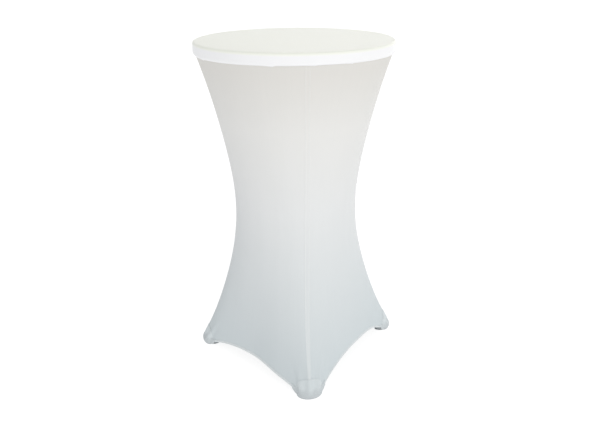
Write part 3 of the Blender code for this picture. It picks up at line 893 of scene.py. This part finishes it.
for name, panel in zip(PANELS, panels):
    band = cloth_roll(f"hem_band_{name}", band_rings(panel)[:, ::-1], hem_knit)
    row = stitch_row(f"hem_stitches_{name}", [edge_path(panel, 0.0078, 0.0011)], thread)
    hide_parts(f"hem_binding_{name}")
    for piece in (band, row):
        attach(piece, COVER)

# %% [markdown]
# ## The foot seams
#
# Inside each seam lies its allowance, a strip of the two panels' edges pressed flat.  Outside, a
# row of stitches runs down each of its edges from the rim to the foot pocket.

# %% Seam allowances and topstitching
SEAM_TOP = 3  # rows below the rim
POCKET_TALL = 0.058


def beside_seam(foot, column):
    """One column of points on each side of a foot's seam: (points, normals, beside, up) arrays."""
    ahead, behind = panels[foot], panels[(foot - 1) % 4]
    picked = []
    for panel, index in ((behind, COLUMNS - 1 - column), (ahead, column)):
        grids = (panel.points, panel.normals, panel.beside, panel.up)
        picked.append([grid[index] for grid in grids])
    return picked


def seam_rows(foot):
    return np.flatnonzero(panels[foot].up[0] > POCKET_TALL + 0.004)[SEAM_TOP:]


def seam_stitch_paths(foot, column=6):
    rows = seam_rows(foot)
    paths = []
    for points, normals, beside, up in beside_seam(foot, column):
        here = lifted(points[rows], normals[rows], beside[rows], up[rows], KNIT / 2 + 0.0001)
        paths.append((here, normals[rows]))
    return paths


def allowance_grid(foot, stand):
    rows = seam_rows(foot)
    lines = []
    reach = range(8)
    for side in (0, 1):
        columns = reach if side else reach[:0:-1]
        for column in columns:
            points, normals, beside, up = beside_seam(foot, column)[side]
            lines.append(lifted(points[rows], normals[rows], beside[rows], up[rows], stand))
    return np.array(lines)


for foot, name in enumerate(FEET):
    grids = allowance_grid(foot, -KNIT / 2 - 0.0001), allowance_grid(foot, -KNIT / 2 - 0.0008)
    strip = cloth_sheet(f"seam_allowance_{name}", *grids, hem_knit)
    row = stitch_row(f"seam_stitches_{name}", seam_stitch_paths(foot), thread)
    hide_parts(f"seam_tape_{name}")
    for piece in (strip, row):
        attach(piece, COVER)

for foot, cloth in enumerate(skirt_cloths):
    rows = [bpy.data.objects[f"seam_stitches_{FEET[foot]}"]]

# %% [markdown]
# ## The foot pockets
#
# A patch of doubled cloth is sewn over each corner of the skirt and carried down round the toe, so
# that it hooks under the table's foot.  Above the hem it follows the skirt's pleats a little
# further out; below the hem it rounds in under the toe.  The levelling glide inside can be screwed
# down, and then the lower edge goes with it while the upper part stays on the skirt.

# %% Pocket patches
POCKET_WIDE = 0.080
PATCH_WIDE = 0.056
POCKET_CLOTH = 0.0008
ARCH_LOW = 0.014  # height of the patch's upper edge at its ends
# The patch's lower edge round the toe: height, and how far out from the hem's edge
TOE = ((0.0098, 0.0004), (0.0076, 0.0006), (0.0056, 0.0004), (0.0038, -0.0004))
TOE += ((0.0025, -0.0016), (0.0017, -0.0034), (0.0014, -0.0058), (0.0014, -0.0085))


def open_normals(points):
    return unit(np.cross(np.gradient(points, axis=1), np.gradient(points, axis=0)))


def toe_columns(foot):
    """(panel, columns) on each side of a foot's seam that lie within the patch, left to right."""
    ahead, behind = panels[foot], panels[(foot - 1) % 4]
    right = np.flatnonzero(ahead.beside[: COLUMNS // 2, -1] <= POCKET_WIDE)
    left = COLUMNS - 1 - right[:0:-1]
    return (behind, left), (ahead, right)


def patch_heights(side, rows):
    """Heights from the patch's upper edge, an arch over the toe, down to the hem's edge."""
    arch = ARCH_LOW + (POCKET_TALL - ARCH_LOW) * np.sqrt(np.clip(1 - (side / PATCH_WIDE) ** 2, 0, 1))
    return arch[:, None] * np.linspace(1, 0, rows)[None, :]


def pocket_outer(foot, rows=26):
    upper, lower = [], []
    toe = np.array(TOE)
    for panel, columns in toe_columns(foot):
        heights = patch_heights(panel.beside[columns, -1], rows)
        points, normals, beside = panel.strip(columns, heights)
        over_band = np.clip((0.016 - heights) / 0.006, 0, 1)
        over_band = over_band * over_band * (3 - 2 * over_band)
        stand = KNIT / 2 + 0.0001 + POCKET_CLOTH + over_band * 0.0009
        outer = lifted(points, normals, beside, heights, stand)
        level = unit(normals[:, -1] * (1, 1, 0))
        fade = np.clip((panel.beside[columns, -1] - PATCH_WIDE) / (POCKET_WIDE - PATCH_WIDE), 0, 1)
        reach = (1 - 0.85 * fade * fade * (3 - 2 * fade))[:, None]
        edge = outer[:, -1]
        below = edge[:, None] + level[:, None] * (toe[None, :, 1] * reach)[..., None]
        below[..., 2] = edge[:, None, 2] + (toe[None, :, 0] - edge[:, None, 2]) * reach
        upper.append(outer)
        lower.append(below)
    return np.concatenate([np.concatenate(upper), np.concatenate(lower)], axis=1)


def pocket_stitch_path(outer, inset=2):
    normals = open_normals(outer)
    return outer[1:-1, inset], normals[1:-1, inset]


# %% Make the pockets and their soles
def sole_outline():
    """Half an ellipse for the toe and two straight sides running in to the sole's inner end."""
    sole_low, sole_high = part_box("pocket_sole_front")
    half = sole_high.x
    toe = -sole_low.y
    heel = -sole_high.y
    bend = toe - FOOT_DEPTH
    turn = np.radians(np.linspace(-90, 90, 33))
    tip = np.stack([bend + FOOT_DEPTH * np.cos(turn), half * np.sin(turn)], axis=1)
    sides = np.array([(heel + 0.016, half), (heel + 0.006, half * 0.93), (heel, half * 0.8), (heel, 0)])
    mirrored = sides[-2::-1] * (1, -1)
    return np.concatenate([tip, sides, mirrored])


# Each ring of the sole as a share of its outline and a height: flat underneath, with a wall inside
SOLE_PROFILE = ((0.001, 0.0001), (0.985, 0.0), (1.0, 0.0004), (1.0, 0.0008), (0.985, 0.0012))
SOLE_PROFILE += ((0.900, 0.0012), (0.885, 0.0020), (0.875, 0.0134), (0.865, 0.0140), (0.855, 0.0134))
SOLE_PROFILE += ((0.850, 0.0016), (0.840, 0.0012), (0.001, 0.0012))


def make_sole(name, turn):
    outline = sole_outline()
    centre = np.array([outline[:, 0].mean(), 0])
    rings = []
    for share, z in SOLE_PROFILE:
        flat = centre + (outline - centre) * share
        rings.append(np.concatenate([flat, np.full((len(flat), 1), z)], axis=1))
    rings = np.array(rings)
    spin = np.array(Matrix.Rotation(turn, 3, "Z"))
    return cloth_roll(f"sole_cloth_{name}", rings @ spin.T, pocket_knit)


for foot, name in enumerate(FEET):
    outer = pocket_outer(foot)
    inner = outer - open_normals(outer) * POCKET_CLOTH
    patch = cloth_sheet(f"pocket_cloth_{name}", outer, inner, pocket_knit)
    rows = [pocket_stitch_path(outer, 2)]
    row = stitch_row(f"pocket_stitches_{name}", rows, thread, pitch=0.0030, length=0.0021)
    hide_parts(f"foot_pocket_{name}")
    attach(row, COVER)
    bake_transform(patch)
    sole = make_sole(name, math.tau / 4 * (foot - 1))
    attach(sole, f"foot_pad_{name}")
    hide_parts(f"pocket_sole_{name}")

# %% [markdown]
# ## Finishes of the table
#
# The table's own pieces keep the frame's shapes and only need real finishes: a laminated board
# with a plastic edge, cast iron and steel with a black powder coat, zinc-plated fasteners, and
# moulded glides.

# %% Laminate, plastic, powder coat and zinc
def laminate_finish():
    material, shader, place = start_finish("laminate", Specular_IOR_Level=0.45)
    specks = noise(place, 900.0, detail=2.0)
    clouds = noise(place, 14.0, detail=4.0)
    grain = (specks * 0.7 + clouds * 0.3).held()
    feed(shader, "Base Color", mixed(grain, (0.60, 0.55, 0.46), (0.80, 0.76, 0.68)))
    feed(shader, "Roughness", clouds * 0.2 + 0.32)
    feed(shader, "Normal", raised(specks, 0.00004))
    return material


def edging_finish():
    material, shader, place = start_finish("edging", Specular_IOR_Level=0.5)
    scuffs = noise(place, 120.0, detail=5.0)
    feed(shader, "Base Color", mixed(scuffs, (0.16, 0.16, 0.165), (0.24, 0.24, 0.245)))
    feed(shader, "Roughness", scuffs * 0.25 + 0.38)
    feed(shader, "Normal", raised(scuffs, 0.00005))
    return material


def powder_coat_finish():
    """Black powder coat: a fine orange-peel skin, with patches of dust."""
    material, shader, place = start_finish("powder_coat", Specular_IOR_Level=0.5)
    peel = noise(place, 1400.0, detail=1.0)
    dust = noise(place, 35.0, detail=5.0)
    dusty = (dust * dust * 0.8).held()
    feed(shader, "Base Color", mixed(dusty, (0.026, 0.026, 0.028), (0.070, 0.068, 0.065)))
    feed(shader, "Roughness", dust * 0.25 + 0.34)
    feed(shader, "Normal", raised(peel, 0.00006))
    return material


def zinc_finish():
    material, shader, place = start_finish("zinc_plate", Metallic=1.0)
    x, y, z = axes(place)
    brushed = noise(joined(x * 300, y * 300, z * 2200), 1.0, detail=3.0)
    clouds = noise(place, 160.0, detail=3.0)
    feed(shader, "Base Color", mixed(clouds, (0.56, 0.57, 0.58), (0.74, 0.74, 0.73)))
    feed(shader, "Roughness", brushed * 0.25 + 0.24)
    feed(shader, "Normal", raised(brushed, 0.00003))
    return material


def glide_finish():
    material, shader, place = start_finish("glide_plastic", Specular_IOR_Level=0.45)
    grain = noise(place, 800.0, detail=3.0)
    wear = noise(place, 90.0, detail=4.0)
    feed(shader, "Base Color", mixed(wear, (0.036, 0.036, 0.037), (0.060, 0.060, 0.060)))
    feed(shader, "Roughness", wear * 0.2 + 0.50)
    feed(shader, "Normal", raised(grain, 0.00008))
    return material


# %% Put the finishes on the frame's pieces
powder_coat = powder_coat_finish()
zinc = zinc_finish()
glide_plastic = glide_finish()
table_finishes = {
    "tabletop_board": laminate_finish(),
    "board_edge_band": edging_finish(),
    "top_spider": powder_coat,
    "column_tube": powder_coat,
    "pedestal_base": powder_coat,
    "tie_rod": zinc,
    "rod_washer": zinc,
    "rod_nut": zinc,
}
for name in FEET:
    table_finishes[f"board_screw_{name}"] = zinc
    table_finishes[f"glide_stud_{name}"] = zinc
    table_finishes[f"glide_pad_{name}"] = glide_plastic
for node, finish in table_finishes.items():
    for slot in frame["nodes"][node].material_slots:
        slot.material = finish
print("finished", len(table_finishes), "pieces of the table")

# %% [markdown]
# ## Floor, light and camera
#
# A white cover on a white floor needs soft light from one side.  A broad lamp in front gives the
# shading across the skirt, a low one behind on the right brightens that side, the pale floor glows
# a little so that it stays white under the cover, and the sky fills the rest.  Directions and
# strengths were chosen by trying them.  The camera stands above the table and looks down at it.

# %% Floor
FLOOR_HALF = 40.0


def floor_finish():
    material, shader, place = start_finish("pale_floor", Specular_IOR_Level=0.0, Emission_Strength=0.84)
    speckle = noise(place, 3.0, detail=2.0)
    feed(shader, "Base Color", mixed(speckle, (0.29, 0.29, 0.29), (0.31, 0.31, 0.31)))
    feed(shader, "Roughness", speckle * 0.1 + 0.85)
    shader.inputs["Emission Color"].default_value = (1, 1, 1, 1)
    return material


corners = [(x * FLOOR_HALF, y * FLOOR_HALF, 0) for x, y in ((-1, -1), (1, -1), (1, 1), (-1, 1))]
floor = add_mesh("floor", np.array(corners), [[0, 1, 2, 3]], floor_finish())

# %% Light
world = bpy.data.worlds.new("studio")
bpy.context.scene.world = world
world.use_nodes = True
world.node_tree.nodes["Background"].inputs["Color"].default_value = (0.985, 0.99, 1.0, 1)
world.node_tree.nodes["Background"].inputs["Strength"].default_value = 0.65

LAMP_WIDTH = math.radians(60)


def hang_lamp(name, energy, turn, rise, colour):
    """A broad, far lamp: its turn round the table from the right, and its rise above the floor."""
    lamp = bpy.data.objects.new(name, bpy.data.lights.new(name, "SUN"))
    lamp.data.energy = energy
    lamp.data.angle = LAMP_WIDTH
    lamp.data.color = colour
    turn, rise = math.radians(turn), math.radians(rise)
    level = math.cos(rise)
    towards = Vector((math.cos(turn) * level, math.sin(turn) * level, math.sin(rise)))
    lamp.rotation_euler = towards.to_track_quat("Z", "Y").to_euler()
    bpy.context.scene.collection.objects.link(lamp)


hang_lamp("key", 1.03, -70, 30, (1.0, 0.985, 0.95))
hang_lamp("rim", 1.67, 60, 6, (1.0, 0.99, 0.97))
bpy.context.scene.view_settings.view_transform = "Standard"

# %% Camera
CAMERA_PLACE = (-0.1757, -1.6221, 1.2914)
CAMERA_YAW, CAMERA_TILT, CAMERA_ROLL = -6.65, 64.37, -0.47  # degrees

camera = bpy.data.objects.new("camera", bpy.data.cameras.new("camera"))
camera.data.sensor_width = 36
camera.data.lens = 30.79
camera.data.clip_end = 200
yaw = Matrix.Rotation(math.radians(CAMERA_YAW), 4, "Z")
tilt = Matrix.Rotation(math.radians(CAMERA_TILT), 4, "X")
roll = Matrix.Rotation(math.radians(CAMERA_ROLL), 4, "Z")
camera.matrix_world = Matrix.Translation(CAMERA_PLACE) @ yaw @ tilt @ roll
bpy.context.scene.collection.objects.link(camera)
bpy.context.scene.camera = camera
print("camera at", [round(c, 3) for c in camera.location])

# %% Update the scene
bpy.context.view_layer.update()
